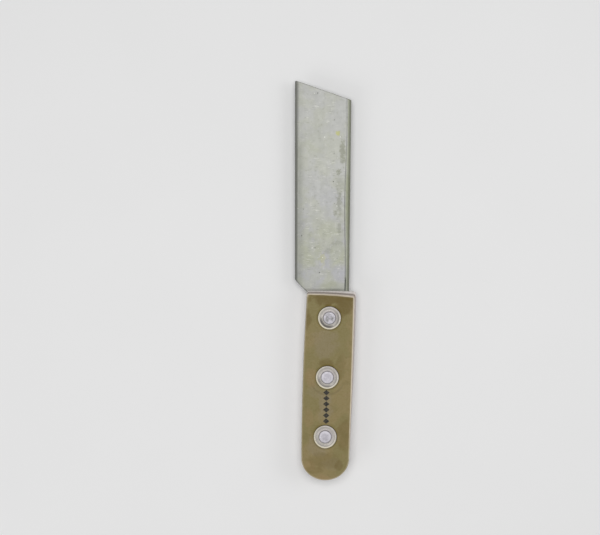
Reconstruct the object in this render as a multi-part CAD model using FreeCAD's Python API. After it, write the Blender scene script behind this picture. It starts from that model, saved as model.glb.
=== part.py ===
import FreeCAD, Part

import math
import os

from FreeCAD import Vector

# A glazier's hacking knife: a wedge-ground steel blade with a full tang, two thick leather
# scales, and three pins peened over cup washers on both sides.
#
# Millimetres. While a piece is drawn, X = 0 is the back of the blade, Y = 0 is the front end
# of the handle and Z = 0 is the middle of the steel. The cutting edge is on the -X side and
# the tip points to +Y. place_on_ground() then moves every piece so that the knife lies on the
# outer face of its lower scale, centred over the origin.

# Blade
BLADE_LENGTH = 107.6  # handle to the long point, on the cutting-edge side
TIP_SET_BACK = 9.9  # how much shorter the blade is along its back
HEEL_WIDTH = 27.7
TIP_WIDTH = 28.9
HEEL_CORNER = 5.6  # size of the 45 degree corner ahead of the handle
POINT_RADIUS = 0.8
STEEL_THICKNESS = 4.8
SPINE_RADIUS = 1.4

# Main grind: a flat taper from a line near the back down to the edge
GRIND_LINE = 2.4  # distance of that line from the back
GRIND_STEP_AT_HANDLE = 0.30
GRIND_STEP_AT_TIP = 0.06
THICKNESS_BEHIND_BEVEL = 1.5
WHEEL_RADIUS = 1.2  # the curve in which the grind runs out at the front of the handle

# Cutting edge
BEVEL_WIDTH = 1.1
EDGE_THICKNESS = 0.6

# Tang: as deep as the handle, hidden between the scales
TANG_INSET = 0.6
TANG_SHOULDER = 1.5  # how far inside the handle the back of the blade ends

# Handle, seen from above. A bow is how far a long side stands out past a straight line.
HANDLE_LENGTH = 96.0
BUTT_LENGTH = 11.0
LEFT_FRONT = -21.4
LEFT_REAR = -23.3
LEFT_BOW = 0.65
LEFT_CORNER_RADIUS = 0.9

# Leather scales. The cut edges lean, so the outer face is smaller than the base on the steel.
LEATHER_THICKNESS = 5.0
BASE_RIGHT_FRONT = 3.65
BASE_RIGHT_REAR = 1.0
BASE_RIGHT_BOW = 0.4
BASE_CORNER_RADIUS = 1.4
FACE_RIGHT_FRONT = 2.6
FACE_RIGHT_REAR = 0.9
FACE_RIGHT_BOW = 0.2
FACE_CORNER_RADIUS = 1.0
FACE_SET_BACK_LEFT = 1.4
FACE_SET_BACK_RIGHT = 2.5
FRONT_BOW = 0.3  # how far the front ends of the scales stand out past a straight line

# Pins and cup washers
PIN_NAMES = ("front", "middle", "rear")
FIRST_PIN = 13.6  # distance of the first pin behind the handle's front end
PIN_SPACING = 30.2
PIN_LINE_FRONT = -9.6
PIN_LINE_LEAN = 0.024
PIN_RADIUS = 2.5
HEAD_RADIUS = 3.15
HEAD_HEIGHT = 0.55
HEAD_FACETS = 8
HEAD_BEVEL = 0.2
WASHER_RADIUS = 5.85
WASHER_THICKNESS = 0.8
WASHER_RIM = 0.55
WASHER_LAND_RADIUS = 4.15
WASHER_DISH = 0.45
RIM_BELOW_FACE = 0.25

MARGIN = 5.0  # how far a cutting tool reaches past the material

HALF_STEEL = STEEL_THICKNESS / 2
FACE_Z = HALF_STEEL + LEATHER_THICKNESS
RIM_Z = FACE_Z - RIM_BELOW_FACE
LAND_Z = RIM_Z - WASHER_DISH
SIDES_END = BUTT_LENGTH - HANDLE_LENGTH


def line(start, end):
    return Part.LineSegment(start, end).toShape()


def arc(start, middle, end):
    return Part.Arc(start, middle, end).toShape()


def bowed(start, end, bow):
    """A shallow arc from start to end whose middle is moved by the vector bow."""
    return arc(start, (start + end) * 0.5 + bow, end)


def bowed_side(start, end, bow):
    """A long side of the handle, standing out by bow (to +X) at the middle of its length."""
    return bowed(start, end, Vector(bow, 0, 0))


def butt_curve(left, right, length):
    """Half an ellipse that joins the rear ends of the handle's left and right sides."""
    ellipse = Part.Ellipse((left + right) * 0.5, (right.x - left.x) / 2, length)
    return Part.ArcOfEllipse(ellipse, math.pi, 2 * math.pi).toShape()


def corner_arc(before, corner, after, radius):
    """The start, middle and end of the tangent arc that rounds a corner."""
    back = (before - corner).normalize()
    ahead = (after - corner).normalize()
    half_angle = back.getAngle(ahead) / 2
    reach = radius / math.tan(half_angle)
    centre = corner + (back + ahead).normalize() * (radius / math.sin(half_angle))
    middle = centre + (corner - centre).normalize() * radius
    return corner + back * reach, middle, corner + ahead * reach


def mirrored(shape):
    """The same shape on the lower side of the steel."""
    return shape.mirror(Vector(0, 0, 0), Vector(0, 0, 1))


# ---------------------------------------------------------------- steel


def steel_outline():
    """The flat bar's outline: blade, heel corner and full tang in one loop."""
    z = -HALF_STEEL
    heel = Vector(-HEEL_WIDTH, HEEL_CORNER, z)
    point = Vector(-TIP_WIDTH, BLADE_LENGTH, z)
    back_tip = Vector(0, BLADE_LENGTH - TIP_SET_BACK, z)
    back_end = Vector(0, -TANG_SHOULDER, z)
    right_front = back_end - Vector(TANG_INSET, TANG_INSET, 0)
    right_rear = Vector(right_front.x, SIDES_END, z)
    left_rear = Vector(LEFT_REAR + TANG_INSET, SIDES_END, z)
    left_x = LEFT_FRONT + TANG_INSET
    left_front = Vector(left_x, HEEL_CORNER - HEEL_WIDTH - left_x, z)
    tip_start, tip_middle, tip_end = corner_arc(heel, point, back_tip, POINT_RADIUS)
    return Part.Wire(
        [
            line(heel, tip_start),
            arc(tip_start, tip_middle, tip_end),
            line(tip_end, back_tip),
            line(back_tip, back_end),
            line(back_end, right_front),
            line(right_front, right_rear),
            butt_curve(left_rear, right_rear, BUTT_LENGTH - TANG_INSET),
            bowed_side(left_rear, left_front, -LEFT_BOW),
            line(left_front, heel),
        ]
    )


def is_back_corner(edge):
    """True for the two long edges where the back of the blade meets its sides."""
    box = edge.BoundBox
    return abs(box.XMin) + abs(box.XMax) < 1e-6 and box.YLength > BLADE_LENGTH / 2


def steel_bar():
    """The bar before grinding, with the two long corners of its back rounded."""
    bar = Part.Face(steel_outline()).extrude(Vector(0, 0, STEEL_THICKNESS))
    return bar.makeFillet(SPINE_RADIUS, [edge for edge in bar.Edges if is_back_corner(edge)])


def main_grind():
    """What the wheel takes off the upper side: a flat taper with a curve at the handle."""
    fall = HALF_STEEL - GRIND_STEP_AT_HANDLE - THICKNESS_BEHIND_BEVEL / 2
    across = Vector(-(HEEL_WIDTH - BEVEL_WIDTH - GRIND_LINE), 0, -fall).normalize()
    along = Vector(0, BLADE_LENGTH, GRIND_STEP_AT_HANDLE - GRIND_STEP_AT_TIP).normalize()
    up = along.cross(across).normalize()
    start = Vector(-GRIND_LINE, WHEEL_RADIUS, HALF_STEEL - GRIND_STEP_AT_HANDLE)
    wheel_centre = start + up * WHEEL_RADIUS
    curve_middle = wheel_centre - (along + up).normalize() * WHEEL_RADIUS
    curve_end = wheel_centre - along * WHEEL_RADIUS
    end = start + along * (BLADE_LENGTH + MARGIN)
    height = up * (STEEL_THICKNESS + WHEEL_RADIUS)
    profile = Part.Wire(
        [
            arc(curve_end, curve_middle, start),
            line(start, end),
            line(end, end + height),
            line(end + height, start - along * WHEEL_RADIUS + height),
            line(start - along * WHEEL_RADIUS + height, curve_end),
        ]
    )
    return Part.Face(profile).extrude(across * (TIP_WIDTH + MARGIN))


def edge_bevel():
    """What the second, steeper grind takes off the upper side along the cutting edge."""
    along = Vector(HEEL_WIDTH - TIP_WIDTH, BLADE_LENGTH - HEEL_CORNER, 0).normalize()
    inward = Vector(BEVEL_WIDTH, 0, (THICKNESS_BEHIND_BEVEL - EDGE_THICKNESS) / 2).normalize()
    heel_edge = Vector(-HEEL_WIDTH, HEEL_CORNER, EDGE_THICKNESS / 2)
    outer = heel_edge - along * (HEEL_CORNER + MARGIN) - inward * MARGIN
    inner = outer + inward * (MARGIN + TIP_WIDTH)
    top = Vector(outer.x, outer.y, STEEL_THICKNESS + MARGIN)
    wedge = Part.Face(Part.makePolygon([outer, inner, top, outer]))
    return wedge.extrude(along * (BLADE_LENGTH + 3 * MARGIN))


def pin_centre(index):
    y = -(FIRST_PIN + index * PIN_SPACING)
    return Vector(PIN_LINE_FRONT + PIN_LINE_LEAN * y, y, 0)


def pin_hole(index):
    start = pin_centre(index) - Vector(0, 0, FACE_Z)
    return Part.makeCylinder(PIN_RADIUS, 2 * FACE_Z, start)


def make_blade():
    grinds = [main_grind(), edge_bevel()]
    tools = grinds + [mirrored(grind) for grind in grinds]
    tools += [pin_hole(index) for index in range(len(PIN_NAMES))]
    return steel_bar().cut(tools)


# ---------------------------------------------------------------- leather


def scale_outline(z, right_front, right_rear, right_bow, set_back_left, set_back_right, radius):
    """A closed outline of the scale at height z, cut back by so much at its front corners."""
    left = Vector(LEFT_FRONT, -set_back_left, z)
    right = Vector(right_front, -set_back_right, z)
    left_rear = Vector(LEFT_REAR, SIDES_END, z)
    right_end = Vector(right_rear, SIDES_END, z)
    left_start, left_middle, left_end = corner_arc(left_rear, left, right, LEFT_CORNER_RADIUS)
    right_start, right_middle, right_end_of_arc = corner_arc(left, right, right_end, radius)
    return Part.Wire(
        [
            arc(left_start, left_middle, left_end),
            bowed(left_end, right_start, Vector(0, FRONT_BOW, 0)),
            arc(right_start, right_middle, right_end_of_arc),
            bowed_side(right_end_of_arc, right_end, right_bow),
            butt_curve(left_rear, right_end, BUTT_LENGTH),
            bowed_side(left_rear, left_start, -LEFT_BOW),
        ]
    )


def make_scale():
    """The upper scale, with a seat for each cup washer."""
    base = scale_outline(
        HALF_STEEL, BASE_RIGHT_FRONT, BASE_RIGHT_REAR, BASE_RIGHT_BOW, 0, 0, BASE_CORNER_RADIUS
    )
    face = scale_outline(
        FACE_Z,
        FACE_RIGHT_FRONT,
        FACE_RIGHT_REAR,
        FACE_RIGHT_BOW,
        FACE_SET_BACK_LEFT,
        FACE_SET_BACK_RIGHT,
        FACE_CORNER_RADIUS,
    )
    slab = Part.makeLoft([base, face], True, True)
    tools = [washer_seat(pin_centre(index)) for index in range(len(PIN_NAMES))]
    tools += [pin_hole(index) for index in range(len(PIN_NAMES))]
    return slab.cut(tools)


# ---------------------------------------------------------------- fasteners


def turned(points, centre):
    """The solid made by turning a closed (radius, height) outline about a pin's axis."""
    corners = [Vector(radius, 0, z) for radius, z in points]
    face = Part.Face(Part.makePolygon(corners + corners[:1]))
    return face.revolve(Vector(0, 0, 0), Vector(0, 0, 1), 360).translate(centre)


def cup_underside():
    """The underside of a cup washer as (radius, height), from the pin hole out to the rim."""
    return [
        (PIN_RADIUS, LAND_Z - WASHER_THICKNESS),
        (WASHER_LAND_RADIUS, LAND_Z - WASHER_THICKNESS),
        (WASHER_RADIUS - WASHER_RIM, RIM_Z - WASHER_THICKNESS),
        (WASHER_RADIUS, RIM_Z - WASHER_THICKNESS),
    ]


def make_washer(centre):
    bead = WASHER_THICKNESS / 4
    upper_side = [
        (WASHER_RADIUS, RIM_Z - bead),
        (WASHER_RADIUS - bead, RIM_Z),
        (WASHER_RADIUS - WASHER_RIM, RIM_Z),
        (WASHER_LAND_RADIUS, LAND_Z),
        (PIN_RADIUS, LAND_Z),
    ]
    return turned(cup_underside() + upper_side, centre)


def washer_seat(centre):
    """The hollow that the cup presses into the leather, open to the outer face."""
    above = FACE_Z + MARGIN
    return turned(cup_underside() + [(WASHER_RADIUS, above), (PIN_RADIUS, above)], centre)


def facet_ring(centre, radius, z):
    """A closed ring of straight sides, each touching a circle of the given radius."""
    reach = radius / math.cos(math.pi / HEAD_FACETS)
    turns = [(2 * step + 1) * math.pi / HEAD_FACETS for step in range(HEAD_FACETS)]
    corners = [centre + Vector(reach * math.cos(turn), reach * math.sin(turn), z) for turn in turns]
    return Part.makePolygon(corners + corners[:1])


def peened_head(centre):
    """A head hammered over the washer: round at its base, with flats worked onto its rim."""
    base = facet_ring(centre, HEAD_RADIUS, LAND_Z)
    top = facet_ring(centre, HEAD_RADIUS - HEAD_BEVEL, LAND_Z + HEAD_HEIGHT)
    blank = Part.makeCylinder(HEAD_RADIUS, HEAD_HEIGHT, centre + Vector(0, 0, LAND_Z))
    return blank.common(Part.makeLoft([base, top], True, True))


def make_pin(centre):
    shank = Part.makeCylinder(PIN_RADIUS, 2 * LAND_Z, centre - Vector(0, 0, LAND_Z))
    head = peened_head(centre)
    return shank.fuse([head, mirrored(head)]).removeSplitter()


# ---------------------------------------------------------------- assembly


def make_pieces():
    """Every separate piece of the knife, by name."""
    upper_scale = make_scale()
    pieces = {
        "blade": make_blade(),
        "upper_leather_scale": upper_scale,
        "lower_leather_scale": mirrored(upper_scale),
    }
    for index, name in enumerate(PIN_NAMES):
        washer = make_washer(pin_centre(index))
        pieces[name + "_pin"] = make_pin(pin_centre(index))
        pieces[name + "_upper_washer"] = washer
        pieces[name + "_lower_washer"] = mirrored(washer)
    return pieces


def place_on_ground(pieces):
    """Moves the knife so that the origin is under the middle of its box, on the ground."""
    box = FreeCAD.BoundBox()
    for shape in pieces.values():
        box.add(shape.optimalBoundingBox(False))
    shift = Vector(-box.Center.x, -box.Center.y, -box.ZMin)
    for shape in pieces.values():
        shape.translate(shift)
    return shift


def main():
    pieces = make_pieces()
    shift = place_on_ground(pieces)
    print("back of the blade is at x =", round(shift.x, 3))
    print("front end of the handle is at y =", round(shift.y, 3))
    os.makedirs("parts", exist_ok=True)
    for name, shape in pieces.items():
        print(name, "valid" if shape.isValid() else "NOT VALID", round(shape.Volume, 1), "mm3")
        shape.exportStep("parts/" + name + ".step")


main()
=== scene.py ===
import math
import random

import bmesh
import bpy
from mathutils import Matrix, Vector, kdtree, noise

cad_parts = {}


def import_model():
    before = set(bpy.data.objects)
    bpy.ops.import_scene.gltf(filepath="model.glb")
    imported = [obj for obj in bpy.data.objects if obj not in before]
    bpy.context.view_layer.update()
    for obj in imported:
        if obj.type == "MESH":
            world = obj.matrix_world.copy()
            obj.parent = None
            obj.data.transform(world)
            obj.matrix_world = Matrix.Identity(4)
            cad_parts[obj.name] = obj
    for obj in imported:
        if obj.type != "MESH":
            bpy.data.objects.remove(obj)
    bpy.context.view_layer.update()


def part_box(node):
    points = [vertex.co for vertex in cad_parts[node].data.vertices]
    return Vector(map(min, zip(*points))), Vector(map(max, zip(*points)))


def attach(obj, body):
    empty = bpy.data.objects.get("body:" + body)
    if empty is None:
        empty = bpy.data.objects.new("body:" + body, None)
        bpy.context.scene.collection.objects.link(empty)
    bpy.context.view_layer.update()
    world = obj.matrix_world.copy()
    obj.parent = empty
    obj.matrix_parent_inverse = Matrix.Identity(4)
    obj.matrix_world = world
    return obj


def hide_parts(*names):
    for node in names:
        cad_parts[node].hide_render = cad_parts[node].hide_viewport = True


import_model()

# The looks of a glazier's hacking knife: a ground steel blade, two thick leather scales, and
# three hammered pins over cup washers. Each mesh stands for one node of the CAD model.
#
# Lengths are millimetres in the knife's own drawing frame, as in its design: x = 0 is the back
# of the blade, y = 0 is the front end of the handle and z = 0 is the middle of the steel.
# The cutting edge is at -x and the tip at +y. in_metres() moves a point into the shared frame.
MM = 0.001

# Blade
BLADE_LENGTH = 107.6  # handle to the long point, on the cutting-edge side
TIP_SET_BACK = 9.9  # how much shorter the blade is along its back
HEEL_WIDTH = 27.7
TIP_WIDTH = 28.9
HEEL_CORNER = 5.6  # size of the 45 degree corner ahead of the handle
POINT_RADIUS = 0.8
SPINE_RADIUS = 1.4
EDGE_ROUND = 0.12  # radius along the cutting edge
TIP_ROUND = 0.25  # radius around the slanted end

# Main grind: a flat taper from the crease, a line near the back, down to the edge
GRIND_LINE = 2.4  # distance of the crease from the back
CREASE_HALF_WIDTH = 0.1
GRIND_STEP_AT_HANDLE = 0.30  # how far the ground face starts below the back's flat
GRIND_STEP_AT_TIP = 0.06
WHEEL_RADIUS = 1.2  # the curve in which the grind runs out at the front of the handle
WAVER = 0.35  # how far the hand-ground crease strays from a straight line
WAVER_CENTRE = 46.0  # where along the blade it lies furthest to the left
WAVER_RADIAN = 11.5  # length of one radian of its wave

# Cutting edge
BEVEL_WIDTH = 1.1
EDGE_HALF = 0.3  # half the steel's thickness at the edge
BEHIND_BEVEL_HALF = 0.75  # half its thickness where the bevel meets the ground face

# Tang
TANG_INSET = 0.6  # how far it is cut back from the handle's left side and the blade's back
TANG_SHOULDER = 1.5  # how far inside the handle the back of the blade ends

# Handle, seen from above. A bow is how far a side stands out past a straight line. The cut
# edges lean, so the right side and the front end differ from the steel up to the outer face.
BUTT_LENGTH = 11.0
LEFT_FRONT = -21.4
LEFT_REAR = -23.3
LEFT_BOW = 0.65
LEFT_CORNER_RADIUS = 0.9
FRONT_BOW = 0.3
OUTLINE_ON_STEEL = {
    "right_front": 3.65,
    "right_rear": 1.0,
    "right_bow": 0.4,
    "corner_radius": 1.4,
    "set_back_left": 0.0,
    "set_back_right": 0.0,
}
OUTLINE_OF_FACE = {
    "right_front": 2.6,
    "right_rear": 0.9,
    "right_bow": 0.2,
    "corner_radius": 1.0,
    "set_back_left": 1.4,
    "set_back_right": 2.5,
}
RIM_ROUND = 0.5  # radius between a scale's face and its cut edges

# Pins and washers
PIN_NAMES = ("front", "middle", "rear")
WASHER_RADIUS = 5.85
WASHER_RIM = 0.55
WASHER_LIP_RADIUS = 0.2
WASHER_LAND_RADIUS = 4.15
WASHER_THICKNESS = 0.8
WASHER_DISH = 0.45
RIM_BELOW_FACE = 0.25
SEAM_INSIDE = 3.24  # the dark ring between a head and its washer
SEAM_OUTSIDE = 3.5
HEAD_RADIUS = 3.15
HEAD_HEIGHT = 0.55
SHANK_RADIUS = 2.5
PRESSED_BESIDE = 0.5  # how far a washer has pressed the leather down at its rim
PRESSED_UNDER = 2.4  # how much further under the washer, out of sight
DARK_REFLECTION = {"front": 1.0, "middle": 0.65, "rear": 0.4}  # how strong the painted dark reflection in a pin's washers is
DARK_REFLECTION_TURN = math.radians(238)  # the direction where a washer's painted dark reflection is strongest
PIN_DIRT = {"front": 0.9, "middle": 0.1, "rear": 0.15}  # how mottled a pin's heads are

# Hammer blows on a pin's head: how many, and the limits of their slope and rise
BLOWS = 9
BLOW_TURN = 0.3  # how far a blow strays from even spacing, as a share of that spacing
BLOW_SLOPE = (0.01, 0.05)
BLOW_RISE = (0.0, 0.06)

# Unevenness of the round pieces
WASHER_WOBBLE = 0.05  # how far a washer's rim strays from a circle
WASHER_LIFT = 0.07  # how far that rim rises and falls
SLOPE_BEND = 0.04  # how far a washer's dished part strays from a straight slope
HEAD_WOBBLE = 0.05  # how far a head strays from a circle
HEAD_LOBES = 8  # blunt corners around a head
HEAD_LOBE_SHARE = 0.012  # how far they stand out, as a share of the radius
NECK = 0.1  # how far below its washer's land a head narrows to the shank

# Unevenness of the other surfaces: the height and the size of its waves
FORGED = (0.03, 9.0)
DENTED = (0.012, 2.5)
LEATHER_FACE = (0.05, 11.0)
CUT_FIBRES = (0.05, 1.4)
CUT_WAVES = (0.06, 8.0)

# Spacing of the mesh lines
BLADE_STEP = 0.8
TANG_STEP = 1.0
SCALE_STEP = 0.55
SCALE_WALL_STEPS = 10
WASHER_SEGMENTS = 96
PIN_SEGMENTS = 72
STEADY_WIDTH = 8.0  # lines this close to the blade's back keep their distance from it
SLANT_START = 0.35 * BLADE_LENGTH  # where rows start to turn to the slant of the tip
POINT_START = BLADE_LENGTH - 4.0  # where rows start to bend round the point
TANG_BEND_START = 0.8  # the share of the handle's sides where rows bend to the butt's curve
SCALE_BEND_START = 0.55

# Places and thicknesses that the shared frame gives
BLADE_LOW, BLADE_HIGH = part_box("blade")
SCALE_LOW, SCALE_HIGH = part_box("upper_leather_scale")
ORIGIN = Vector(
    (BLADE_HIGH.x, SCALE_HIGH.y - FRONT_BOW * MM, (BLADE_LOW.z + BLADE_HIGH.z) / 2)
)
HALF_STEEL = (BLADE_HIGH.z - BLADE_LOW.z) / 2 / MM
FACE_Z = (SCALE_HIGH.z - ORIGIN.z) / MM
LEATHER_THICKNESS = FACE_Z - HALF_STEEL
HANDLE_LENGTH = (ORIGIN.y - SCALE_LOW.y) / MM
SIDES_END = BUTT_LENGTH - HANDLE_LENGTH
LAND_Z = FACE_Z - RIM_BELOW_FACE - WASHER_DISH


def in_metres(x, y, z):
    return ORIGIN + Vector((x, y, z)) * MM


def lerp(a, b, t):
    return a + (b - a) * t


def smooth(low, high, value):
    """0 below low, 1 above high and a smooth rise between them."""
    t = min(1.0, max(0.0, (value - low) / (high - low)))
    return t * t * (3 - 2 * t)


def arch(t):
    """0 at both ends of the range from 0 to 1, and 1 in the middle."""
    return 4 * t * (1 - t)


def half_ellipse(across):
    """Height of a half ellipse of height 1 over a width that runs from 0 to 1."""
    return math.sqrt(max(0.0, 1 - (2 * across - 1) ** 2))


def rounded(distance, radius):
    """How much lower a surface is at this distance inside a corner of the given radius."""
    inside = max(0.0, radius - max(0.0, distance))
    return radius - math.sqrt(radius**2 - inside**2)


def waves(kind, x, y, z):
    """Smooth random waves about 0. kind gives their height and size in mm."""
    height, size = kind
    return height * noise.noise(Vector((x / size, y / size, z / size)))


def round_noise(angle, turns, layer):
    """Smooth noise around a ring, with more changes for more turns. layer picks the pattern."""
    return noise.noise(Vector((turns * math.cos(angle), turns * math.sin(angle), layer)))


def stations(start, end, step, fine=(0.0, 0.08, 0.2, 0.38, 0.62, 1.0)):
    """Values from start to end, evenly spaced but closer together near both ends.

    fine lists the distances from each end of the closer ones.
    """
    length = abs(end - start)
    sign = 1 if end > start else -1
    even_length = length - 2 * fine[-1]
    count = max(1, round(even_length / step))
    middle = [fine[-1] + even_length * k / count for k in range(1, count)]
    offsets = list(fine) + middle + [length - offset for offset in reversed(fine)]
    return [start + sign * offset for offset in offsets]


def pin_centre(name):
    low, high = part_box(name + "_pin")
    centre = ((low + high) / 2 - ORIGIN) / MM
    return centre.x, centre.y


PINS = [pin_centre(name) for name in PIN_NAMES]


# ---------------------------------------------------------------- mesh helpers


def make_piece(name, vertices, faces, marks, material, node):
    """A closed smooth mesh in the shared frame that stands for a CAD node.

    marks are lists of one value for each vertex, which the material reads by their names.
    """
    mesh = bpy.data.meshes.new(name)
    mesh.from_pydata([in_metres(*vertex) for vertex in vertices], [], faces)
    turn_faces_outwards(mesh)
    for key, values in marks.items():
        attribute = mesh.attributes.new(key, "FLOAT", "POINT")
        attribute.data.foreach_set("value", values)
    mesh.materials.append(material)
    mesh.validate()
    mesh.shade_smooth()
    piece = bpy.data.objects.new(name, mesh)
    bpy.context.scene.collection.objects.link(piece)
    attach(piece, "root")
    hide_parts(node)


def turn_faces_outwards(mesh):
    editable = bmesh.new()
    editable.from_mesh(mesh)
    bmesh.ops.recalc_face_normals(editable, faces=editable.faces)
    editable.to_mesh(mesh)
    editable.free()


def record(marks, values):
    """Adds one vertex's values to the lists that make_piece() takes."""
    for key, value in values.items():
        marks.setdefault(key, []).append(value)


def slab(rows, columns, point, levels):
    """Vertices and faces of a closed slab.

    point(i, j, level) gives a vertex. The first level is the upper skin, the last the lower
    skin, and between them only the boundary of the grid is used, as rings of the wall.
    """
    ring = [(i, 0) for i in range(rows)]
    ring += [(rows - 1, j) for j in range(1, columns)]
    ring += [(i, columns - 1) for i in range(rows - 2, -1, -1)]
    ring += [(0, j) for j in range(columns - 2, 0, -1)]
    vertices, faces, wall_rings = [], [], []
    for level in levels:
        skin = level in (levels[0], levels[-1])
        cells = [(i, j) for i in range(rows) for j in range(columns)] if skin else ring
        index = {}
        for i, j in cells:
            index[i, j] = len(vertices)
            vertices.append(point(i, j, level))
        wall_rings.append([index[cell] for cell in ring])
        if not skin:
            continue
        for i in range(rows - 1):
            for j in range(columns - 1):
                quad = [index[i, j], index[i, j + 1], index[i + 1, j + 1], index[i + 1, j]]
                faces.append(quad if level == levels[0] else quad[::-1])
    for upper, lower in zip(wall_rings, wall_rings[1:]):
        for k in range(len(ring)):
            after = (k + 1) % len(ring)
            faces.append([upper[k], upper[after], lower[after], lower[k]])
    return vertices, faces


def turned(profile, centre, segments, wobble, closed):
    """A lathe shape from (radius, height) points; wobble(radius, z, angle) returns both moved.

    A closed profile goes round in a loop. An open one starts and ends on the axis.
    """
    vertices, rings = [], []
    for radius, z in profile:
        count = segments if radius else 1
        rings.append(range(len(vertices), len(vertices) + count))
        for k in range(count):
            angle = 2 * math.pi * k / segments
            reach, height = wobble(radius, z, angle)
            x = centre[0] + reach * math.cos(angle)
            y = centre[1] + reach * math.sin(angle)
            vertices.append((x, y, height))
    pairs = list(zip(rings, rings[1:]))
    if closed:
        pairs.append((rings[-1], rings[0]))
    faces = []
    for first, second in pairs:
        for k in range(segments):
            after = (k + 1) % segments
            corners = (
                first[k % len(first)],
                first[after % len(first)],
                second[after % len(second)],
                second[k % len(second)],
            )
            faces.append(list(dict.fromkeys(corners)))
    return vertices, faces


# ---------------------------------------------------------------- blade


def edge_line(y):
    """The straight cutting edge, which flares slightly towards the tip."""
    return lerp(-HEEL_WIDTH, -TIP_WIDTH, (y - HEEL_CORNER) / (BLADE_LENGTH - HEEL_CORNER))


def handle_left(along):
    """The handle's left side. along runs from 0 at the front to 1 where the butt starts."""
    return lerp(LEFT_FRONT, LEFT_REAR, along) - LEFT_BOW * arch(along)


def blade_left(y):
    """The cutting edge, the heel corner and the tang's left side, as one line."""
    corner = -HEEL_WIDTH + (HEEL_CORNER - y)
    tang = handle_left(max(0.0, min(1.0, y / SIDES_END))) + TANG_INSET
    return min(max(edge_line(y), corner), tang)


def blade_right(y):
    """The straight back of the blade and the tang's right side, as one line."""
    return -TANG_INSET * smooth(TANG_SHOULDER, TANG_SHOULDER + TANG_INSET, -y)


def half_thickness(x, y):
    """Half the steel's thickness at a place, before its corners are rounded."""
    if y < 0:
        return HALF_STEEL
    step = lerp(GRIND_STEP_AT_HANDLE, GRIND_STEP_AT_TIP, y / BLADE_LENGTH)
    fall = HALF_STEEL - GRIND_STEP_AT_HANDLE - BEHIND_BEVEL_HALF
    run = HEEL_WIDTH - BEVEL_WIDTH - GRIND_LINE
    grind = HALF_STEEL - step - fall * (-x - GRIND_LINE) / run
    grind += rounded(y, WHEEL_RADIUS)
    back = smooth(-GRIND_LINE - CREASE_HALF_WIDTH, -GRIND_LINE + CREASE_HALF_WIDTH, x)
    bevel = EDGE_HALF + (x - edge_line(y)) * (BEHIND_BEVEL_HALF - EDGE_HALF) / BEVEL_WIDTH
    return min(lerp(min(HALF_STEEL, grind), HALF_STEEL, back), max(bevel, EDGE_HALF))


def waver(x, y):
    """How far the crease and the mesh lines beside it stray to the right of a straight line."""
    beside = 1 - smooth(0.3, 1.0, abs(x + GRIND_LINE))
    wave = -WAVER * math.cos((y - WAVER_CENTRE) / WAVER_RADIAN)
    return beside * wave * smooth(-TANG_SHOULDER, 0, y)


def blade_columns():
    """Shares of the blade's width, closer together at the edge, the crease and the back."""
    beside_outline = (0.0, 0.06, 0.18, 0.4, 0.7, 1.0, 1.35, 1.45)
    beside_crease = (-0.3, -0.1, 0.0, 0.1, 0.3, 0.5)
    places = stations(-HEEL_WIDTH, 0, BLADE_STEP, beside_outline)
    places += [-GRIND_LINE + offset for offset in beside_crease]
    return sorted(1 + place / HEEL_WIDTH for place in places)


def tip_set_back(across, from_edge, y=BLADE_LENGTH):
    """How far the slant and the rounded point set a mesh row back, at a share of the width.

    The row at the tip, where y is the blade's length, takes all of it, and rows behind it less.
    """
    slant = TIP_SET_BACK * across * smooth(SLANT_START, BLADE_LENGTH, y)
    point = rounded(from_edge, POINT_RADIUS) * smooth(POINT_START, BLADE_LENGTH, y)
    return slant + point


def blade_plan(y, column):
    """The place (x, y) in the blade, on a row that bends to follow the tip and the butt."""
    width = blade_right(y) - blade_left(y)
    from_back = (1 - column) * HEEL_WIDTH
    if from_back > STEADY_WIDTH:
        share = (from_back - STEADY_WIDTH) / (HEEL_WIDTH - STEADY_WIDTH)
        from_back = lerp(STEADY_WIDTH, width, share)
    across = 1 - from_back / width
    set_back = tip_set_back(across, width - from_back, y)
    bend = smooth(TANG_BEND_START, 1.0, y / SIDES_END)
    butt = (BUTT_LENGTH - TANG_INSET) * half_ellipse(across) * bend
    return blade_right(y) - from_back, y - set_back - butt


def blade_shade(x, y):
    """How much the steel is darkened: a band along the bevel, and painted shade by the handle, in the
    corner beside it and at the back near it.
    """
    along_bevel = 1 - smooth(BEVEL_WIDTH + 0.6, BEVEL_WIDTH + 5.2, x - edge_line(y))
    along_bevel *= 1 - 0.7 * smooth(68, 84, y)
    by_handle = 0.5 * (1 - smooth(0, 7, y))
    in_corner = smooth(-15, -6, x) * (1 - smooth(0.3, 3.0, y))
    at_back = 0.6 * (1 - smooth(2, 16, y)) * smooth(-GRIND_LINE, -GRIND_LINE + 0.3, x)
    return max(along_bevel, by_handle, in_corner, at_back)


# the walls get a little painted shade and none of the other marks
BLADE_WALL_MARKS = {"dark": 0.25, "olive": 0.0, "flat": 0.0, "plunge": 0.0, "lit_run_out": 0.0}


def blade_face_marks(x, y, to_left, to_outline):
    """The marks of a place on either side of the blade.

    dark is painted shade along the crease, the bevel and the heel, olive the back, and plunge
    painted shade in the crease by the handle. The mark where the grind runs out is painted light. flat
    is 0 along the outline.
    """
    from_crease = x + GRIND_LINE
    crease = 1 - smooth(0.1, 0.4, abs(from_crease))
    crease *= 1 - 0.55 * smooth(5, 9, y) - 0.25 * smooth(20, 80, y)
    bevel = 1 - smooth(BEVEL_WIDTH - 0.35, BEVEL_WIDTH, x - edge_line(y))
    heel = 1 - smooth(0.3, 0.9, to_left)
    plunge = 1 - smooth(0.15, 0.35, abs(from_crease - 0.15))
    return {
        "dark": max(0.9 * crease, bevel, heel),
        "olive": smooth(-SPINE_RADIUS - 0.8, -SPINE_RADIUS - 0.4, x),
        "flat": smooth(0.4, 0.9, to_outline),
        "plunge": plunge * (1 - smooth(6.2, 7.4, y)),
        "lit_run_out": (1 - smooth(0.4, 1.4, y)) * (1 - smooth(-18, -8, x)),
    }


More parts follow.
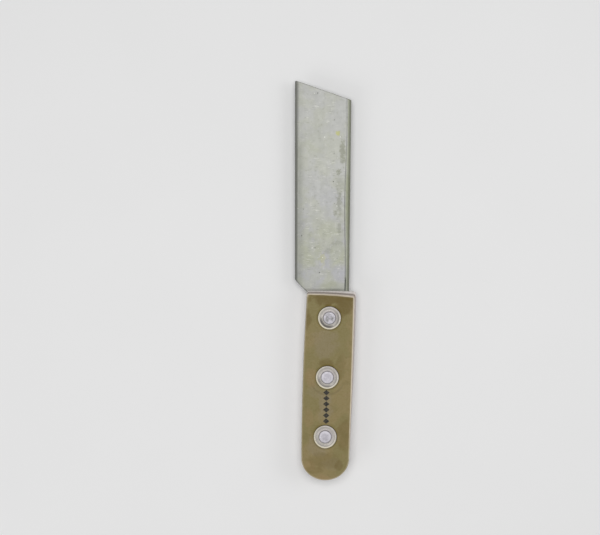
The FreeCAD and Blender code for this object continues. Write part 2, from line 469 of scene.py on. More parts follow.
def make_blade(material):
    columns = blade_columns()
    rows = stations(BLADE_LENGTH, -TANG_SHOULDER, BLADE_STEP)
    rows += stations(-TANG_SHOULDER, SIDES_END, TANG_STEP)[1:]
    levels = [1.0, 0.5, 0.0, -0.5, -1.0]
    marks = {}

    def point(i, j, level):
        x, y = blade_plan(rows[i], columns[j])
        to_left = x - blade_left(rows[i])
        to_right = blade_right(rows[i]) - x
        to_tip = BLADE_LENGTH - tip_set_back(to_left / (to_left + to_right), to_left) - y
        half = half_thickness(x, y) - rounded(to_left, EDGE_ROUND) - rounded(to_tip, TIP_ROUND)
        if y > -TANG_SHOULDER:
            half -= rounded(to_right, SPINE_RADIUS)
        # each level has its own pattern, which fades towards the outline
        uneven = waves(FORGED, x, y, level * 9) + waves(DENTED, x, y, level * 5)
        half += uneven * smooth(0, 2, min(to_left, to_right))
        on_face = abs(level) == 1
        to_outline = min(to_left, to_right, to_tip)
        here = blade_face_marks(x, y, to_left, to_outline) if on_face else BLADE_WALL_MARKS
        record(marks, {"shade": blade_shade(x, y), **here})
        return x + waver(x, y), y, level * half

    vertices, faces = slab(len(rows), len(columns), point, levels)
    make_piece("steel_blade", vertices, faces, marks, material, "blade")


# ---------------------------------------------------------------- leather


def scale_outline(t):
    """The outline's numbers at a height share t, from the steel (0) to the outer face (1)."""
    return {key: lerp(low, OUTLINE_OF_FACE[key], t) for key, low in OUTLINE_ON_STEEL.items()}


def scale_point(v, across, t):
    """The place (x, y) in a scale. v runs from 0 at the front to the rear, in mm."""
    shape = scale_outline(t)
    along = v / -SIDES_END
    left = handle_left(along) + rounded(v, LEFT_CORNER_RADIUS)
    right = lerp(shape["right_front"], shape["right_rear"], along)
    right += shape["right_bow"] * arch(along) - rounded(v, shape["corner_radius"])
    front = lerp(shape["set_back_left"], shape["set_back_right"], across)
    front -= FRONT_BOW * arch(across)
    butt = BUTT_LENGTH * half_ellipse(across) * smooth(SCALE_BEND_START, 1.0, along)
    return lerp(left, right, across), -v - front * (1 - along) - butt


def pressed_in(x, y):
    """How far the washers press the leather down at a place, in mm."""
    depth = 0.0
    for centre_x, centre_y in PINS:
        radius = math.hypot(x - centre_x, y - centre_y)
        beside = 1 - smooth(WASHER_RADIUS - 0.2, WASHER_RADIUS + 0.9, radius)
        under = 1 - smooth(WASHER_RADIUS - 1.1, WASHER_RADIUS - 0.3, radius)
        depth = max(depth, PRESSED_BESIDE * beside + PRESSED_UNDER * under)
    return depth


def outline_of_face(rows, columns):
    """A search tree of the points on the outline of a scale's outer face."""
    points = [scale_point(v, across, 1.0) for v in rows for across in (0.0, 1.0)]
    points += [scale_point(v, across, 1.0) for v in (rows[0], rows[-1]) for across in columns]
    tree = kdtree.KDTree(len(points))
    for index, (x, y) in enumerate(points):
        tree.insert((x, y, 0), index)
    tree.balance()
    return tree


def rim_wear_and_highlight(x, y):
    """How strong the scale's pale rim is, wear with a painted highlight over it: most along the front
    and the right, least on the left.
    """
    front = 1 - smooth(1.0, 5.0, -y)
    right = smooth(-12, 0, x) * (1 - 0.6 * smooth(60, 95, -y))
    butt = 0.5 * smooth(70, 90, -y)
    return max(0.3, front, right, butt)


def leather_marks(x, y, t, inside):
    """The marks of a place in a scale, at a height share t and this far inside the outline.

    cut is 1 on the cut edges, and rim follows the edge of the face, which is pale from wear and
    carries a painted highlight. At the front end, groove is a dark line of painted shade in the upper
    half, and glint a painted highlight on the half next to the steel.
    """
    on_face = t == 1.0
    front = 1 - smooth(2.0, 3.2, -y)
    return {
        "cut": 0.0 if on_face else 1.0,
        # the rim is pale from wear and carries a painted highlight
        "rim": rim_wear_and_highlight(x, y) * (1.0 - smooth(0.25, 0.7, inside)) if on_face else 0.0,
        # painted shade high on the front end
        "groove": front * smooth(0.48, 0.6, t) * (1 - smooth(0.72, 0.87, t)),
        # painted highlight low on the front end
        "glint": front * (1 - smooth(0.35, 0.5, t)),
    }


def make_scale(side, material):
    """One leather scale. side is 1 for the upper and -1 for the lower."""
    rows = stations(0, -SIDES_END, SCALE_STEP)
    width = LEFT_FRONT - OUTLINE_ON_STEEL["right_front"]
    columns = [place / width for place in stations(0, width, SCALE_STEP)]
    wall_top = 1 - RIM_ROUND / LEATHER_THICKNESS
    wall = [wall_top * (1 - k / SCALE_WALL_STEPS) for k in range(SCALE_WALL_STEPS + 1)]
    outline = outline_of_face(rows, columns)
    pattern = side * 30  # keeps the grain of the two scales different
    marks = {}

    def point(i, j, t):
        x, y = scale_point(rows[i], columns[j], t)
        z = HALF_STEEL + LEATHER_THICKNESS * t
        inside = 0.0
        if t == 1.0:
            inside = outline.find((x, y, 0))[2]
            z -= rounded(inside, RIM_ROUND) + pressed_in(x, y)
            # the face's waves lie below its rim
            z -= (LEATHER_FACE[0] + waves(LEATHER_FACE, x, y, pattern)) * smooth(0, 3, inside)
        elif t > 0:
            rough = waves(CUT_FIBRES, x, y, z * 3 + pattern) + waves(CUT_WAVES, x, y, z)
            x += rough
            y += rough
        record(marks, leather_marks(x, y, t, inside))
        return x, y, side * z

    vertices, faces = slab(len(rows), len(columns), point, [1.0] + wall)
    name = ("upper" if side > 0 else "lower") + "_leather"
    make_piece(name, vertices, faces, marks, material, name + "_scale")


# ---------------------------------------------------------------- washers and pins


def washer_profile():
    """The section of a cup washer, as (radius, height above its land)."""
    slope_top = WASHER_RADIUS - WASHER_RIM
    lip_centre = WASHER_RADIUS - WASHER_LIP_RADIUS
    outline = []
    for degrees in range(-30, 91, 20):
        angle = math.radians(degrees)
        radius = lip_centre + WASHER_LIP_RADIUS * math.cos(angle)
        outline.append((radius, WASHER_DISH + WASHER_LIP_RADIUS * (math.sin(angle) - 1)))
    outline += [(lerp(lip_centre, slope_top, t), WASHER_DISH) for t in (0.5, 1.0)]
    slope_steps = 8
    for k in range(1, slope_steps):
        t = k / slope_steps
        bend = SLOPE_BEND * math.sin(2 * math.pi * t)
        outline.append((lerp(slope_top, WASHER_LAND_RADIUS, t), WASHER_DISH * (1 - t) + bend))
    # the land sinks a little towards the pin, and has points where the seam's colour starts
    outline += [(WASHER_LAND_RADIUS, 0.0), (3.9, -0.02), (3.6, -0.02), (3.36, -0.03)]
    outline += [(SEAM_INSIDE, -0.03), (3.1, -0.03), (SHANK_RADIUS, -0.05)]
    # the underside
    outline += [(SHANK_RADIUS, -WASHER_THICKNESS), (WASHER_LAND_RADIUS, -WASHER_THICKNESS)]
    underside = WASHER_DISH - WASHER_THICKNESS
    outline += [(slope_top, underside), (WASHER_RADIUS - 0.15, underside)]
    return outline


def washer_marks(radius, on_top, angle, dark_reflection):
    """The marks of a place on a washer. Its painted dark reflection is heaviest on one side of the
    hollow.

    seam is the dirt against the pin's head; the hollow's mark is a painted dark reflection, slope
    painted light on the dished part, the lip's mark a painted highlight on the rolled edge, and toward
    runs from 0 to 1 across to the side of that reflection.
    """
    to_reflection = math.cos(angle - DARK_REFLECTION_TURN)
    to_right = 0.55 * smooth(0.2, 0.95, math.cos(angle))
    hollow = smooth(3.4, 4.0, radius) * (1 - smooth(4.8, 5.15, radius))
    return {
        "seam": 1 - smooth(SEAM_INSIDE, SEAM_OUTSIDE, radius),
        # painted dark reflection in the hollow, heaviest on one side and on the right
        "dark_reflection": on_top * dark_reflection * hollow * max(to_right, smooth(0.25, 0.85, to_reflection)),
        # painted light on the dished part
        "slope": on_top * smooth(4.0, 4.5, radius) * (1 - smooth(5.05, 5.35, radius)),
        # painted highlight on the rolled edge, strongest towards one side
        "lip_highlight": on_top * smooth(5.0, 5.3, radius) * (0.55 + 0.45 * to_reflection),
        "toward": 0.5 + 0.5 * to_reflection,
    }


def make_washer(name, side, centre, material, seed, dark_reflection):
    """A cup washer on one side of the handle: side is 1 for the upper and -1 for the lower."""
    profile = washer_profile()

    def wobble(radius, z, angle):
        edge = smooth(WASHER_LAND_RADIUS, WASHER_RADIUS, radius)
        moved = radius + WASHER_WOBBLE * edge * round_noise(angle, 1.6, seed)
        lift = WASHER_LIFT * edge * round_noise(angle, 1.2, seed + 5)
        return moved, side * (LAND_Z + z + lift)

    marks = {}
    for radius, z in profile:
        on_top = 1.0 if z > WASHER_DISH - WASHER_THICKNESS else 0.0
        for k in range(WASHER_SEGMENTS):
            angle = 2 * math.pi * k / WASHER_SEGMENTS
            record(marks, washer_marks(radius, on_top, angle, dark_reflection))
    vertices, faces = turned(profile, centre, WASHER_SEGMENTS, wobble, True)
    place = "upper" if side > 0 else "lower"
    piece_name = f"{name}_{place}_cup_washer"
    node = f"{name}_{place}_washer"
    make_piece(piece_name, vertices, faces, marks, material, node)


def hammered(rng):
    """The blows on a pin's head, each a flat plane that falls towards its direction.

    A blow is that direction, the slope, and the rise of the plane over the head's middle.
    """
    blows = []
    for k in range(BLOWS):
        turn = 2 * math.pi * (k + rng.uniform(-BLOW_TURN, BLOW_TURN)) / BLOWS
        slope = rng.uniform(*BLOW_SLOPE)
        rise = rng.uniform(*BLOW_RISE)
        blows.append((turn, slope, rise))
    return blows


def pin_profile():
    """The section of a pin from the top of one head to the other, as (radius, height).

    A head is given as radius and share of its height, from its middle out and down its side.
    """
    head = [(0, 1.0), (0.5, 1.0), (1.0, 1.0), (1.5, 1.0), (1.9, 1.0), (2.3, 0.99), (2.6, 0.98)]
    head += [(2.85, 0.96), (3.0, 0.9), (3.08, 0.8), (3.13, 0.65)]
    head += [(HEAD_RADIUS, 0.4), (3.14, 0.2), (3.1, 0.06)]
    half = [(radius, LAND_Z + share * HEAD_HEIGHT) for radius, share in head]
    half.append((SHANK_RADIUS, LAND_Z - NECK))
    return half + [(radius, -z) for radius, z in reversed(half)]


def make_pin(name, centre, material, seed):
    """A pin with both its heads. Each head has its own hammer blows and outline."""
    rng = random.Random(seed)
    blows = {1: hammered(rng), -1: hammered(rng)}
    profile = pin_profile()

    def wobble(radius, z, angle):
        side = 1 if z > 0 else -1
        height = abs(z) - LAND_Z
        if height < 0:
            return radius, z
        rim = smooth(2, HEAD_RADIUS, radius)
        moved = radius * (1 + HEAD_LOBE_SHARE * math.cos(HEAD_LOBES * angle + seed) * rim)
        moved += HEAD_WOBBLE * round_noise(angle, 2, seed * 3.1) * rim
        worn = 0.0
        for turn, slope, rise in blows[side]:
            worn = max(worn, slope * radius * math.cos(angle - turn) - rise)
        return moved, side * (LAND_Z + height - worn * smooth(0.3, 0.7, height / HEAD_HEIGHT))

    vertices, faces = turned(profile, centre, PIN_SEGMENTS, wobble, False)
    polished = []
    for radius, _ in profile:
        polished += [smooth(1.7, 2.4, radius)] * (PIN_SEGMENTS if radius else 1)
    marks = {"polished": polished}
    make_piece(name + "_peened_pin", vertices, faces, marks, material, name + "_pin")


# ---------------------------------------------------------------- materials


class Nodes:
    """Short calls for building one material's node tree. Sizes and places are in mm."""

    def __init__(self, name):
        self.material = bpy.data.materials.new(name)
        self.material.use_nodes = True
        self.tree = self.material.node_tree
        self.shader = self.tree.nodes["Principled BSDF"]
        mapping = self.add("ShaderNodeMapping")
        mapping.inputs["Location"].default_value = -ORIGIN / MM
        mapping.inputs["Scale"].default_value = (1 / MM, 1 / MM, 1 / MM)
        self.link(self.add("ShaderNodeTexCoord").outputs["Object"], mapping.inputs["Vector"])
        self.place = mapping.outputs["Vector"]

    def add(self, kind, **settings):
        node = self.tree.nodes.new(kind)
        for key, value in settings.items():
            setattr(node, key, value)
        return node

    def link(self, value, socket):
        """Joins another node's output to a socket, or sets the socket to a plain value."""
        if isinstance(value, bpy.types.NodeSocket):
            self.tree.links.new(value, socket)
        else:
            socket.default_value = value

    def noise(self, size, detail=4.0, roughness=0.55, stretch=(1, 1, 1)):
        """Noise with features of the given size. A stretch below 1 makes them longer that way."""
        mapping = self.add("ShaderNodeMapping")
        mapping.inputs["Scale"].default_value = stretch
        self.link(self.place, mapping.inputs["Vector"])
        texture = self.add("ShaderNodeTexNoise")
        self.link(mapping.outputs["Vector"], texture.inputs["Vector"])
        texture.inputs["Scale"].default_value = 1 / size
        texture.inputs["Detail"].default_value = detail
        texture.inputs["Roughness"].default_value = roughness
        return texture.outputs["Fac"]

    def spots(self, spacing, radius, share):
        """1 inside small ragged spots about this far apart, of which only a share is kept."""
        texture = self.add("ShaderNodeTexVoronoi", voronoi_dimensions="2D")
        self.link(self.place, texture.inputs["Vector"])
        texture.inputs["Scale"].default_value = 1 / spacing
        chosen = self.math("LESS_THAN", self.channel(texture.outputs["Color"], "Red"), share)
        limit = radius / spacing
        rough = self.times(self.noise(radius * 0.8, 3), limit * 1.6)
        distance = self.plus(texture.outputs["Distance"], rough)
        smaller = self.times(self.channel(texture.outputs["Color"], "Green"), limit * 0.6)
        distance = self.plus(distance, smaller)
        inside = self.between(distance, limit * 1.5, limit * 2.2, 1.0, 0.0)
        return self.times(chosen, inside)

    def ellipse(self, centre, reach):
        """Distance from a centre (x, y): 1 on an ellipse that reaches so far in x and y."""
        offset = self.add("ShaderNodeVectorMath", operation="SUBTRACT")
        self.link(self.place, offset.inputs[0])
        offset.inputs[1].default_value = (*centre, 0)
        scaled = self.add("ShaderNodeVectorMath", operation="MULTIPLY")
        self.link(offset.outputs["Vector"], scaled.inputs[0])
        scaled.inputs[1].default_value = (1 / reach[0], 1 / reach[1], 0)
        length = self.add("ShaderNodeVectorMath", operation="LENGTH")
        self.link(scaled.outputs["Vector"], length.inputs[0])
        return length.outputs["Value"]

    def uneven(self, size, amount):
        """Noise about 0 that moves the border of a patch in and out by up to half this share."""
        return self.times(self.minus(self.noise(size, 5), 0.5), amount)

    def patch(self, centre, reach, ragged, softness):
        """1 inside an ellipse with an uneven, soft border, and 0 outside it."""
        distance = self.plus(self.ellipse(centre, reach), ragged)
        return self.between(distance, 1 - softness, 1 + softness, 1.0, 0.0)

    def channel(self, color, name):
        node = self.add("ShaderNodeSeparateColor")
        self.link(color, node.inputs["Color"])
        return node.outputs[name]

    def axis(self, name):
        node = self.add("ShaderNodeSeparateXYZ")
        self.link(self.place, node.inputs["Vector"])
        return node.outputs[name]

    def cells(self, size):
        """Distance to the nearest of scattered points about this far apart."""
        texture = self.add("ShaderNodeTexVoronoi")
        self.link(self.place, texture.inputs["Vector"])
        texture.inputs["Scale"].default_value = 1 / size
        return texture.outputs["Distance"]

    def mark(self, name, strength=1.0):
        """A mark of the mesh, from 0 to the given strength."""
        value = self.add("ShaderNodeAttribute", attribute_name=name).outputs["Fac"]
        return value if strength == 1.0 else self.times(value, strength)

    def math(self, operation, first, second=0.0):
        node = self.add("ShaderNodeMath", operation=operation)
        self.link(first, node.inputs[0])
        self.link(second, node.inputs[1])
        return node.outputs[0]

    def times(self, first, second):
        return self.math("MULTIPLY", first, second)

    def plus(self, first, second):
        return self.math("ADD", first, second)

    def minus(self, first, second):
        return self.math("SUBTRACT", first, second)

    def between(self, value, low, high, out_low=0.0, out_high=1.0):
        """out_low where the value is below low, out_high above high, smooth in between."""
        node = self.add("ShaderNodeMapRange", interpolation_type="SMOOTHSTEP")
        self.link(value, node.inputs["Value"])
        node.inputs["From Min"].default_value = low
        node.inputs["From Max"].default_value = high
        node.inputs["To Min"].default_value = out_low
        node.inputs["To Max"].default_value = out_high
        return node.outputs["Result"]

    def mix(self, factor, first, second):
        node = self.add("ShaderNodeMix", data_type="RGBA")
        self.link(factor, node.inputs["Factor"])
        self.link(first, node.inputs["A"])
        self.link(second, node.inputs["B"])
        return node.outputs["Result"]

    def patched(self, color, patches, patch_color, ragged, softness):
        """The colour with soft-edged patches of another colour laid over it."""
        for centre, reach, strength in patches:
            inside = self.patch(centre, reach, ragged, softness)
            color = self.mix(self.times(inside, strength), color, patch_color)
        return color

    def bump(self, height, distance, strength=1.0, normal=None):
        node = self.add("ShaderNodeBump")
        node.inputs["Strength"].default_value = strength
        node.inputs["Distance"].default_value = distance * MM
        self.link(height, node.inputs["Height"])
        if normal is not None:
            self.link(normal, node.inputs["Normal"])
        return node.outputs["Normal"]

    def finish(self, color, roughness, normal, **values):
        """Sets the shader and returns the material. values are the shader's other inputs."""
        self.link(color, self.shader.inputs["Base Color"])
        self.link(roughness, self.shader.inputs["Roughness"])
        self.link(normal, self.shader.inputs["Normal"])
        for key, value in values.items():
            self.shader.inputs[key.replace("_", " ")].default_value = value
        return self.material


def linear(display):
    """The linear value of a display value from 0 to 255, by the sRGB curve."""
    share = display / 255
    if share < 0.04045:
        return share / 12.92
    return ((share + 0.055) / 1.055) ** 2.4


def tone(red, green, blue):
    """A colour given as 0 to 255 display values, as the shader wants it."""
    return linear(red), linear(green), linear(blue), 1.0


# Patches of colour on the blade: the centre (x, y), the reach in x and y, and the strength
GREEN_PATCHES = (
    ((-17.5, 77.0), (6.0, 6.0), 0.25),
    ((-11.5, 31.0), (4.5, 4.5), 0.3),
    ((-19.5, 19.0), (5.0, 7.0), 0.4),
    ((-6.0, 19.0), (4.5, 7.5), 0.5),
    ((-8.0, 2.0), (7.0, 3.0), 0.4),
    ((-22.2, 27.5), (2.8, 5.0), 0.4),
    ((-5.0, 28.0), (2.4, 3.6), 0.4),
)
LILAC_PATCHES = (
    ((-10.0, 44.0), (7.0, 8.0), 0.15),
    ((-22.0, 38.0), (4.0, 5.0), 0.15),
    ((-18.0, 8.0), (6.5, 5.0), 0.3),
    ((-5.0, 9.5), (4.0, 4.5), 0.6),
)
WORN_PATCHES = (
    ((-4.2, 71.0), (1.3, 6.0), 0.6),
    ((-6.0, 61.0), (1.1, 1.2), 0.7),
    ((-5.4, 55.0), (2.2, 4.5), 0.25),
    ((-5.6, 45.5), (1.3, 6.5), 0.45),
    ((-5.4, 32.0), (1.0, 3.0), 0.4),
    ((-6.6, 24.5), (2.4, 1.2), 0.35),
    ((-10.5, 20.5), (2.0, 1.2), 0.25),
    ((-7.6, 39.8), (1.0, 1.2), 0.5),
)
BACK_PATCHES = (((-1.2, 44.0), (1.3, 13.0), 0.35),)
RUST_SPOTS = (
    ((-6.9, 80.6), (1.1, 1.0), 0.7),
    ((-13.7, 16.4), (1.4, 3.0), 0.3),
)


def blade_material():
    """Old ground steel: mottled, scratched and pitted, with painted shade along the crease and by the
    handle, and an olive back.
    """
    nodes = Nodes("blade_steel")
    ragged = nodes.uneven(4, 1.4)
    broken = nodes.uneven(1.3, 3.2)
    dents = nodes.noise(2.1, 5, 0.7)
    # wide clouds of grey, lighter towards the tip, with green and lilac patches
    clouds = nodes.between(nodes.noise(11, 4), 0.42, 0.58)
    color = nodes.mix(clouds, tone(148, 148, 149), tone(148, 149, 139))
    color = nodes.mix(nodes.between(nodes.axis("Y"), 15, 65, 0.0, 0.5), color, tone(164, 165, 158))
    color = nodes.patched(color, GREEN_PATCHES, tone(143, 146, 123), ragged, 0.4)
    color = nodes.patched(color, LILAC_PATCHES, tone(146, 146, 154), ragged, 0.4)
    # faint streaks along the blade, and mottling where the dents are
    streaks = nodes.noise(1.1, 3, 0.6, (1, 0.05, 1))
    color = nodes.mix(nodes.between(streaks, 0.4, 0.75, 0.0, 0.12), color, tone(130, 131, 125))
    color = nodes.mix(nodes.between(dents, 0.56, 0.66, 0.0, 0.4), color, tone(128, 130, 118))
    color = nodes.mix(nodes.between(dents, 0.34, 0.44, 0.4, 0.0), color, tone(172, 172, 166))
    # light and dull grinding scratches across the blade, in some places only
    scratched = nodes.between(nodes.noise(5, 3), 0.5, 0.58)
    scratches = nodes.noise(0.5, 2, 0.5, (0.13, 1, 1))
    light = nodes.times(scratched, nodes.between(scratches, 0.62, 0.68, 0.0, 0.5))
    color = nodes.mix(light, color, tone(194, 194, 186))
    dull = nodes.times(scratched, nodes.between(scratches, 0.32, 0.38, 0.35, 0.0))
    color = nodes.mix(dull, color, tone(112, 113, 104))
    color = nodes.patched(color, WORN_PATCHES, tone(106, 108, 90), broken, 0.5)
    color = nodes.patched(color, RUST_SPOTS, tone(158, 158, 84), broken, 0.5)
    # scattered dark pits and light specks
    pits = nodes.times(nodes.spots(9, 0.3, 0.35), nodes.mark("flat"))
    color = nodes.mix(nodes.times(pits, 0.85), color, tone(56, 57, 52))
    specks = nodes.times(nodes.spots(7, 0.28, 0.3), nodes.mark("flat"))
    color = nodes.mix(nodes.times(specks, 0.7), color, tone(212, 212, 204))
    # the olive back, the darker band along the bevel, painted shade by the handle and along the lines
    # of the grind, and painted light where the grind runs out
    color = nodes.mix(nodes.mark("olive", 0.8), color, tone(128, 131, 112))
    color = nodes.patched(color, BACK_PATCHES, tone(105, 109, 76), ragged, 0.5)
    # painted shade by the handle, and the darker band along the bevel
    color = nodes.mix(nodes.mark("shade", 0.6), color, tone(112, 114, 104))
    # painted light where the grind runs out, which evens out the shading of its curve
    color = nodes.mix(nodes.mark("lit_run_out", 0.8), color, tone(205, 203, 196))
    # painted shade along the crease, the bevel, the heel and the walls
    color = nodes.mix(nodes.mark("dark", 0.85), color, tone(114, 115, 109))
    # painted shade: a dark line in the crease by the handle
    color = nodes.mix(nodes.mark("plunge", 0.9), color, tone(42, 44, 40))
    roughness = nodes.between(nodes.noise(2.5, 5, 0.6), 0.3, 0.7, 0.46, 0.50)
    normal = nodes.bump(dents, 0.006, 0.5)
    normal = nodes.bump(nodes.noise(0.5, 6, 0.65), 0.012, 0.5, normal)
    normal = nodes.bump(nodes.times(pits, -1.0), 0.03, 0.7, normal)
    return nodes.finish(color, roughness, normal, Metallic=0.35)


# Patches in the leather: the centre (x, y), the reach in x and y, and the strength
DARK_PATCHES = (
    # the first two, along the front end, are painted shade
    ((-8.7, -2.0), (11.4, 5.2), 0.8),
    ((-2.4, -6.5), (5.0, 5.6), 0.8),
    ((-21.6, -15.0), (2.4, 5.0), 0.6),
    ((-11.2, -36.8), (3.6, 2.4), 0.6),
    ((-4.0, -37.5), (2.4, 6.0), 0.3),
    ((-1.5, -72.0), (4.0, 8.0), 0.45),
    ((-4.2, -88.0), (1.8, 2.4), 0.5),
    ((-12.0, -86.0), (7.0, 3.6), 0.35),
    ((-17.5, -91.0), (4.5, 2.0), 0.3),
)
GREY_PATCHES = (
    ((-12.0, -26.5), (6.0, 7.0), 0.6),
    ((-17.0, -50.5), (3.6, 4.0), 0.4),
    ((-15.5, -79.5), (5.0, 4.5), 0.6),
    ((-8.0, -87.5), (5.0, 3.0), 0.4),
    ((-11.4, -57.5), (3.2, 9.0), 0.7),
)
ROSY_PATCHES = (
    ((-19.0, -44.0), (2.6, 5.0), 0.5),
    ((-20.0, -65.0), (2.4, 5.0), 0.35),
    ((-19.5, -89.0), (3.0, 2.4), 0.35),
    ((-13.0, -95.0), (3.4, 2.0), 0.5),
)

IMPRINT_RADIUS = 8.7  # a faint ring in the leather around the middle washer


def leather_material(name, stamped):
    """Leather with pale cut edges. stamped adds the row of ink marks."""
    nodes = Nodes(name)
    ragged = nodes.uneven(4, 1.7)
    # clouds of olive brown and the patches
    clouds = nodes.between(nodes.noise(15, 3, 0.45), 0.44, 0.56)
    color = nodes.mix(clouds, tone(128, 117, 73), tone(136, 121, 79))
    darker = nodes.between(nodes.noise(7, 4, 0.5), 0.57, 0.62, 0.0, 0.25)
    color = nodes.mix(darker, color, tone(112, 100, 56))
    paler = nodes.between(nodes.noise(8, 3, 0.5), 0.60, 0.66, 0.0, 0.25)
    color = nodes.mix(paler, color, tone(141, 122, 88))
    color = nodes.patched(color, GREY_PATCHES, tone(136, 123, 94), ragged, 0.35)
    color = nodes.patched(color, ROSY_PATCHES, tone(147, 123, 84), ragged, 0.35)
    color = nodes.patched(color, DARK_PATCHES, tone(103, 86, 36), ragged, 0.3)
    # the ring around the middle washer, fine speckles, dirt and painted shadow round the washers and
    # the ink
    color = nodes.mix(imprint(nodes, PINS[1]), color, tone(104, 92, 58))
    fine = nodes.noise(0.8, 6, 0.7)
    color = nodes.mix(nodes.between(fine, 0.42, 0.75, 0.0, 0.2), color, tone(95, 83, 46))
    for centre in PINS:
        # dirt and painted shadow in the gap round each washer
        color = nodes.mix(washer_dirt_and_shade(nodes, centre), color, tone(56, 46, 34))
    if stamped:
        color = nodes.mix(ink_mark(nodes), color, tone(30, 30, 26))
    # the cut edges, with layers of fibre, painted shade and painted glints at the front end, and the
    # worn rim beside them with its painted highlight
    layers = nodes.noise(0.35, 4, 0.6, (0.16, 0.16, 1))
    cut_color = nodes.mix(nodes.between(layers, 0.35, 0.65), tone(192, 180, 174), tone(214, 204, 197))
    # painted shade: a dark line high on the front end
    cut_color = nodes.mix(nodes.mark("groove", 0.7), cut_color, tone(120, 108, 96))
    # painted glints: a highlight low on the front end, next to the steel
    sparkle = nodes.times(nodes.mark("glint"), nodes.between(nodes.noise(1.1, 4), 0.38, 0.6, 0.7, 1.0))
    cut_color = nodes.mix(sparkle, cut_color, tone(244, 238, 234))
    # the rim: pale wear with a painted highlight, strongest along the front and the right
    color = nodes.mix(nodes.mark("rim", 0.85), color, tone(226, 215, 196))
    cut = nodes.mark("cut")
    color = nodes.mix(cut, color, cut_color)
    roughness = nodes.between(nodes.plus(fine, nodes.times(cut, 0.4)), 0.3, 0.9, 0.40, 0.75)
    normal = nodes.bump(nodes.cells(0.5), 0.025, 0.35)
    normal = nodes.bump(nodes.times(layers, cut), 0.08, 0.5, normal)
    return nodes.finish(color, roughness, normal, Metallic=0.0, Specular_IOR_Level=0.2)


def imprint(nodes, centre):
    """The faint mark of a larger washer, on the side of the handle's rear."""
    distance = nodes.math("ABSOLUTE", nodes.minus(nodes.ellipse(centre, (1, 1)), IMPRINT_RADIUS))
    line = nodes.between(distance, 0.1, 0.8, 0.35, 0.0)
    behind = nodes.minus(centre[1], nodes.axis("Y"))
    return nodes.times(line, nodes.between(behind, 2.0, 6.0))


def washer_dirt_and_shade(nodes, centre):
    """Dirt and painted shadow in the leather round one washer, heaviest towards the tip and the back.
    """
    distance = nodes.ellipse(centre, (1, 1))
    line = nodes.between(distance, WASHER_RADIUS + 0.05, WASHER_RADIUS + 0.45, 1.0, 0.0)
    across = nodes.times(nodes.minus(nodes.axis("X"), centre[0]), 0.5)
    ahead = nodes.plus(nodes.minus(nodes.axis("Y"), centre[1]), across)
    return nodes.times(line, nodes.between(ahead, -5.0, 5.0, 0.45, 0.95))


# The row of ink diamonds on the upper scale, which runs towards the handle's rear
STAMP_START = -50.0
STAMP_PITCH = 2.9
STAMP_COUNT = 6
STAMP_HALF_WIDTH = 1.7


def ink_mark(nodes):
    """A plain row of worn ink diamonds along the handle, between the middle and rear pins."""
    line_x = (PINS[1][0] + PINS[2][0]) / 2
    steps = nodes.math("DIVIDE", nodes.minus(STAMP_START, nodes.axis("Y")), STAMP_PITCH)
    started = nodes.math("GREATER_THAN", steps, 0.0)
    inside = nodes.times(started, nodes.math("LESS_THAN", steps, float(STAMP_COUNT)))
    along = nodes.math("ABSOLUTE", nodes.minus(nodes.math("FRACT", steps), 0.5))
    across = nodes.math("DIVIDE", nodes.minus(nodes.axis("X"), line_x), STAMP_HALF_WIDTH * 2)
    diamond = nodes.between(nodes.plus(along, nodes.math("ABSOLUTE", across)), 0.44, 0.52, 1.0, 0.0)
    worn = nodes.between(nodes.noise(0.6, 4, 0.6), 0.36, 0.5, 0.7, 1.0)
    return nodes.times(nodes.times(diamond, inside), worn)


def washer_material():
    """Dull pressed steel. The marks of the mesh say where it is dished and gets painted light, where
    it is dirty, and where a highlight and a dark reflection are painted.
    """
    nodes = Nodes("washer_steel")
    # the base tone changes a little from side to side, as painted light
    color = nodes.mix(nodes.mark("toward"), tone(163, 157, 156), tone(166, 163, 154))
    lighter = nodes.between(nodes.noise(2.2, 4), 0.42, 0.6, 0.0, 0.5)
    color = nodes.mix(lighter, color, tone(188, 181, 177))
    mottled = nodes.between(nodes.noise(1.7, 4, 0.6), 0.54, 0.64, 0.0, 0.4)
    color = nodes.mix(mottled, color, tone(134, 136, 128))
    # painted light on the dished part, which evens out its shading
    color = nodes.mix(nodes.mark("slope", 0.85), color, tone(212, 207, 200))
    # painted highlight on the rolled edge
    color = nodes.mix(nodes.mark("lip_highlight", 0.8), color, tone(191, 184, 160))
    # painted dark reflection in the hollow
    color = nodes.mix(nodes.mark("dark_reflection", 0.85), color, tone(84, 80, 76))
    color = nodes.mix(nodes.mark("seam", 0.8), color, tone(76, 72, 74))
    scuffs = nodes.noise(0.35, 5, 0.7)
    roughness = nodes.between(scuffs, 0.3, 0.7, 0.52, 0.58)
    return nodes.finish(color, roughness, nodes.bump(scuffs, 0.012, 0.4), Metallic=0.6)


def pin_material(name, dirt):
    """Peened steel. dirt is how strongly its surface is mottled."""
    nodes = Nodes(name)
    clouds = nodes.between(nodes.noise(1.6, 5), 0.4, 0.65)
    color = nodes.mix(clouds, tone(164, 161, 168), tone(180, 177, 183))
    mottled = nodes.between(nodes.noise(1.1, 6, 0.7), 0.40, 0.60, 0.0, dirt)
    color = nodes.mix(mottled, color, tone(104, 104, 102))
    color = nodes.mix(nodes.mark("polished", 0.5), color, tone(192, 189, 195))
    scuffs = nodes.noise(0.3, 5, 0.7)
    roughness = nodes.between(scuffs, 0.3, 0.7, 0.52, 0.58)
    return nodes.finish(color, roughness, nodes.bump(scuffs, 0.015, 0.5), Metallic=0.6)


def floor_material():
    nodes = Nodes("pale_floor")
    # plain linear greys, a little uneven
    color = nodes.mix(nodes.noise(60, 2), (0.82, 0.82, 0.82, 1), (0.84, 0.84, 0.84, 1))
    return nodes.finish(color, 0.9, nodes.bump(nodes.noise(0.8, 2), 0.005, 0.1))


# ---------------------------------------------------------------- scene

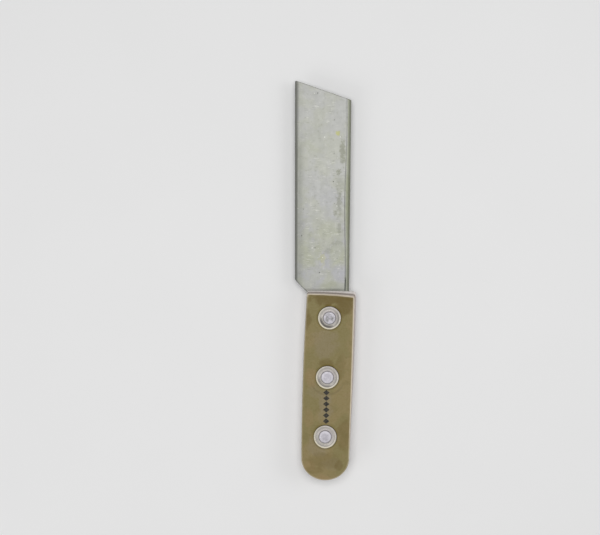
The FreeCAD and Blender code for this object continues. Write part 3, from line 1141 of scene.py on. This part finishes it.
VIEW_WIDTH = 304.57  # what the picture's width takes in, at the height of the handle's face
VIEW_CENTRE = (-25.2, 11.9)
VIEW_TURN = math.radians(0.7)
CAMERA_HEIGHT = 900
SENSOR_WIDTH = 36

# Lengths in metres
CLIP_RANGE = (0.01, 20)
FLOOR_REACH = 3.0
SKY_STRENGTH = 0.24
LIGHTS = (  # name, place, diameter and power in watts
    ("top_light", (-0.05, 0.1, 1.3), 0.8, 9.8),
    ("left_fill", (-0.6, -0.5, 0.6), 0.6, 1.2),
    ("right_fill", (0.7, 0.1, 0.7), 0.6, 1.3),
)


def make_camera():
    data = bpy.data.cameras.new("camera")
    data.sensor_width = SENSOR_WIDTH
    data.lens = SENSOR_WIDTH * CAMERA_HEIGHT / VIEW_WIDTH
    data.clip_start, data.clip_end = CLIP_RANGE
    camera = bpy.data.objects.new("camera", data)
    camera.location = in_metres(*VIEW_CENTRE, FACE_Z + CAMERA_HEIGHT)
    camera.rotation_euler = (0, 0, VIEW_TURN)
    bpy.context.scene.collection.objects.link(camera)
    bpy.context.scene.camera = camera


def make_floor(material):
    mesh = bpy.data.meshes.new("floor")
    corners = [(x * FLOOR_REACH, y * FLOOR_REACH, 0) for x, y in ((-1, -1), (1, -1), (1, 1), (-1, 1))]
    mesh.from_pydata(corners, [], [(0, 1, 2, 3)])
    mesh.materials.append(material)
    floor = bpy.data.objects.new("floor", mesh)
    bpy.context.scene.collection.objects.link(floor)


def make_light(name, place, diameter, watts):
    """A round soft light that faces the knife."""
    data = bpy.data.lights.new(name, "AREA")
    data.shape = "DISK"
    data.size = diameter
    data.energy = watts
    light = bpy.data.objects.new(name, data)
    light.location = place
    light.rotation_euler = (-Vector(place)).to_track_quat("-Z", "Y").to_euler()
    bpy.context.scene.collection.objects.link(light)


def make_world():
    world = bpy.data.worlds.new("studio")
    world.use_nodes = True
    background = world.node_tree.nodes["Background"]
    background.inputs["Color"].default_value = (1, 1, 1, 1)
    background.inputs["Strength"].default_value = SKY_STRENGTH
    bpy.context.scene.world = world


def main():
    bpy.context.scene.view_settings.view_transform = "Standard"
    make_camera()
    make_floor(floor_material())
    make_world()
    for light in LIGHTS:
        make_light(*light)
    make_blade(blade_material())
    make_scale(1, leather_material("stamped_leather", True))
    make_scale(-1, leather_material("leather", False))
    washer_steel = washer_material()
    # seeds that are far enough apart to give every pin and washer a shape of its own
    for number, (name, centre) in enumerate(zip(PIN_NAMES, PINS)):
        make_pin(name, centre, pin_material(name + "_pin_steel", PIN_DIRT[name]), number + 3)
        for side in (1, -1):
            seed = number * 7 + side * 2.5
            make_washer(name, side, centre, washer_steel, seed, DARK_REFLECTION[name])


main()
